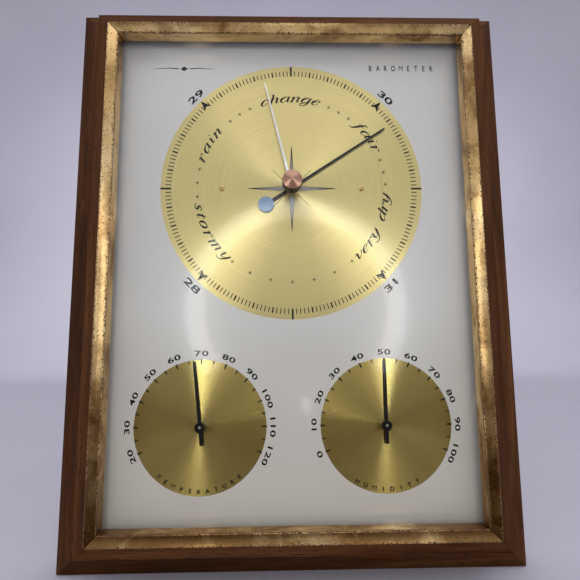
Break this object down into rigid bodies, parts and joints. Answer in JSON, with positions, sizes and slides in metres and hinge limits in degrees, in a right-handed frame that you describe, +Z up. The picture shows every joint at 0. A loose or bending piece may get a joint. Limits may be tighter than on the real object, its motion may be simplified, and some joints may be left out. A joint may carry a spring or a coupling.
{
  "type": "wall weather station",
  "caption": "Wall barometer, thermometer and hygrometer behind glass in a stepped mitred wooden frame, with a set-hand knob through the glass.",
  "frame": {"origin": "middle of the back face, which rests on the wall", "axes": "+X to the right seen from the front, -Y out of the dials, +Z up along the longer side"},
  "size_m": [0.229, 0.0389, 0.292],
  "materials": {
    "walnut": "dark reddish walnut under a satin varnish",
    "liner_brass": "worn lacquered brass",
    "window_glass": "clear polished",
    "spacer_card": "dark grey card",
    "dial_metal": "fine brushed and lacquered, with gold dials and black print",
    "fastener_steel": "plain steel",
    "hardboard": "smooth brown hardboard",
    "hanger_steel": "zinc plated",
    "knob_black": "black, finely knurled",
    "knob_copper": "turned copper-coloured cap",
    "plated_steel": "nickel plated",
    "bushing_brass": "turned brass",
    "hand_black": "satin black",
    "blued_steel": "blued steel, brushed",
    "movement_brass": "brushed brass",
    "movement_steel": "bright steel",
    "spring_steel": "tempered spring steel",
    "capsule_alloy": "nickel silver",
    "hairspring_bronze": "phosphor bronze",
    "thermometer_bimetal": "two bonded metals",
    "hygrometer_strip": "metal strip with a paper face"
  },
  "bodies": {
    "case": {"frame_top_rail": "walnut", "frame_bottom_rail": "walnut", "frame_left_stile": "walnut", "frame_right_stile": "walnut", "liner_top": "liner_brass", "liner_bottom": "liner_brass", "liner_left": "liner_brass", "liner_right": "liner_brass", "glass_pane": "window_glass", "glass_spacers": "spacer_card", "dial_plate": "dial_metal", "corner_fasteners": "fastener_steel", "glazing_points": "fastener_steel", "back_cover_screws": "fastener_steel", "hanger_screws": "fastener_steel", "back_cover": "hardboard", "hanger_plate": "hanger_steel", "set_hand_washer": "plated_steel", "glass_bushing": "bushing_brass", "train_plate_back": "movement_brass", "train_plate_front": "movement_brass", "train_pillars": "movement_brass", "capsule_nut": "movement_brass", "thermometer_eyelet": "movement_brass", "hygrometer_eyelet": "movement_brass", "base_plate": "movement_steel", "movement_posts": "movement_steel", "base_plate_screws": "movement_steel", "train_screws": "movement_steel", "movement_rivets": "movement_steel", "rocker_bracket": "movement_steel", "spring_foot_block": "movement_steel", "hairspring_stud": "movement_steel", "thermometer_bracket": "movement_steel", "hygrometer_bracket": "movement_steel", "main_spring": "spring_steel", "capsule_back": "capsule_alloy", "capsule_front": "capsule_alloy", "hairspring": "hairspring_bronze", "thermometer_coil": "thermometer_bimetal", "hygrometer_coil": "hygrometer_strip"},
    "adjuster": {"adjusting_screw": "movement_steel"},
    "capsule_lift": {"capsule_stud": "movement_brass"},
    "rocking_lever": {"rocker_shaft": "movement_steel", "rocker_lift_arm": "movement_steel", "rocker_push_arm": "movement_steel"},
    "sector": {"sector_gear": "movement_brass", "sector_arbor": "movement_steel"},
    "barometer_hand": {"hand_arbor": "movement_steel", "indicator_hand": "hand_black", "hand_counterweight": "blued_steel"},
    "set_hand_and_knob": {"knob_body": "knob_black", "knob_cap": "knob_copper", "set_arbor": "plated_steel", "set_hand": "plated_steel"},
    "thermometer_pointer": {"thermometer_arbor": "movement_steel", "thermometer_hand": "hand_black"},
    "hygrometer_pointer": {"hygrometer_arbor": "movement_steel", "hygrometer_hand": "hand_black"}
  },
  "joints": [
    {"name": "barometer_hand_turn", "type": "hinge", "parent": "case", "child": "barometer_hand", "pos_m": [0, -0.0264, 0.041], "axis": [0, 1, 0], "range_deg": [-191.6, 78.4], "stiffness_Nm_per_rad": 0.0002, "deforming": ["hairspring"]},
    {"name": "sector_turn", "type": "hinge", "parent": "case", "child": "sector", "pos_m": [0.02124, -0.0206, 0.026], "axis": [0, 1, 0], "range_deg": [-6.6, 16]},
    {"name": "rocking_lever_turn", "type": "hinge", "parent": "case", "child": "rocking_lever", "pos_m": [0, -0.013, 0.026], "axis": [1, 0, 0], "range_deg": [-3.3, 8]},
    {"name": "capsule_rise", "type": "slide", "parent": "case", "child": "capsule_lift", "axis": [0, -1, 0], "range_m": [-0.00029, 0.0007], "deforming": ["capsule_front", "main_spring"]},
    {"name": "set_hand_turn", "type": "hinge", "parent": "case", "child": "set_hand_and_knob", "pos_m": [0, -0.0275, 0.041], "axis": [0, 1, 0], "continuous": true},
    {"name": "thermometer_hand_turn", "type": "hinge", "parent": "case", "child": "thermometer_pointer", "pos_m": [-0.0437, -0.0265, -0.0745], "axis": [0, 1, 0], "range_deg": [-106.1, 118.9], "stiffness_Nm_per_rad": 0.0003, "deforming": ["thermometer_coil"]},
    {"name": "hygrometer_hand_turn", "type": "hinge", "parent": "case", "child": "hygrometer_pointer", "pos_m": [0.0437, -0.0265, -0.0745], "axis": [0, 1, 0], "range_deg": [-112.5, 112.5], "stiffness_Nm_per_rad": 0.0003, "deforming": ["hygrometer_coil"]},
    {"name": "adjusting_screw_turn", "type": "hinge", "parent": "case", "child": "adjuster", "pos_m": [0, -0.005, 0.058], "axis": [0, 1, 0], "range_deg": [-180, 180]}
  ],
  "couplings": [
    {"joint": "sector_turn", "follows": "barometer_hand_turn", "ratio": -0.083333},
    {"joint": "rocking_lever_turn", "follows": "barometer_hand_turn", "ratio": -0.041667},
    {"joint": "capsule_rise", "follows": "barometer_hand_turn", "m_per_rad": -0.00020833}
  ]
}
